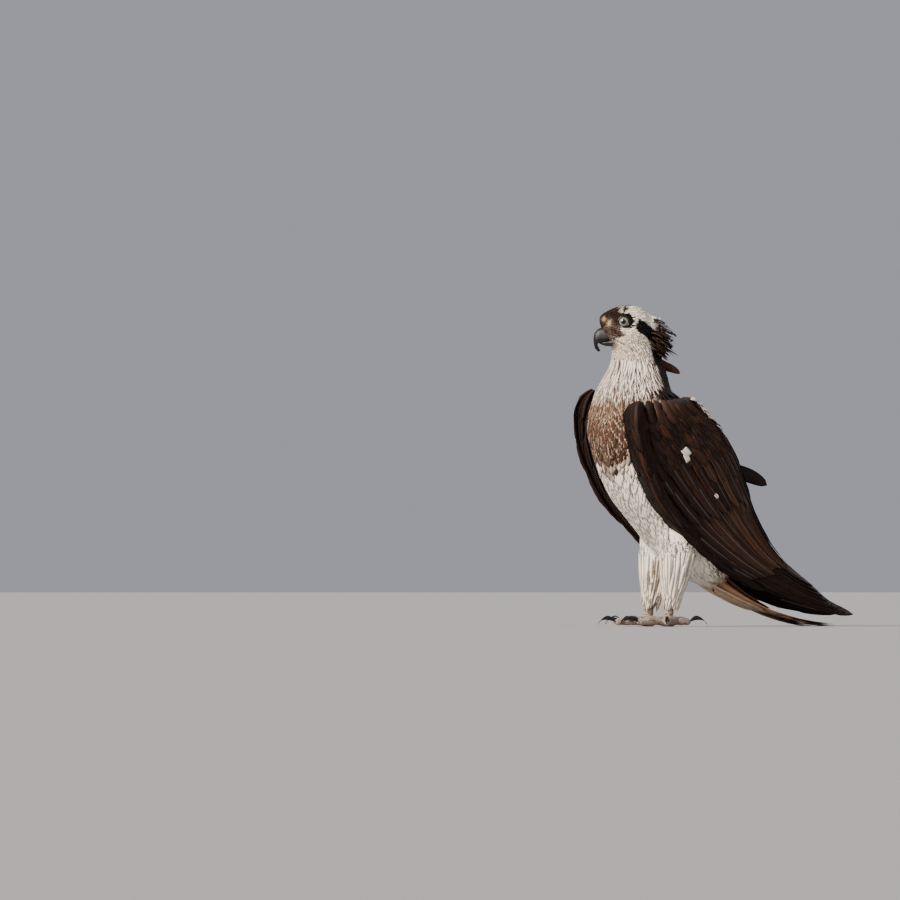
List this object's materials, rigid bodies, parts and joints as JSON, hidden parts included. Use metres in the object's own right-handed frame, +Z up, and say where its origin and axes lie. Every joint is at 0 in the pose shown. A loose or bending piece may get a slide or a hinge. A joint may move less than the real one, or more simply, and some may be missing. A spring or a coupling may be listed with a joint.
{
  "type": "osprey",
  "caption": "Life-size osprey standing at rest with folded wings, head turned to its right, pale breast, dark back and a hooked bill.",
  "frame": {"origin": "on the floor, below the middle of the bounding box", "axes": "+Z up, the breast faces -Y, the tail points to +Y and the bird's left is +X"},
  "size_m": [0.164, 0.3806, 0.4176],
  "materials": {
    "plumage_pale": "soft, matt body feathers",
    "plumage_dark": "smooth vaned feathers, slightly glossy",
    "plumage_barred": "smooth vaned feathers",
    "bill_horn": "polished horn",
    "eye": "wet gloss",
    "leg_skin": "dry scaly skin",
    "claw_horn": "polished horn"
  },
  "bodies": {
    "root": {"torso": "plumage_pale", "neck": "plumage_pale", "head": "plumage_pale", "bill_upper": "bill_horn", "bill_lower": "bill_horn", "eye_left": "eye", "eye_right": "eye", "wing_left": "plumage_dark", "wing_right": "plumage_dark", "tail": "plumage_barred", "thigh_left": "plumage_pale", "thigh_right": "plumage_pale", "tarsus_left": "leg_skin", "tarsus_right": "leg_skin", "foot_left": "leg_skin", "foot_right": "leg_skin", "claw_left_inner": "claw_horn", "claw_left_middle": "claw_horn", "claw_left_outer": "claw_horn", "claw_left_hind": "claw_horn", "claw_right_inner": "claw_horn", "claw_right_middle": "claw_horn", "claw_right_outer": "claw_horn", "claw_right_hind": "claw_horn"}
  },
  "joints": []
}
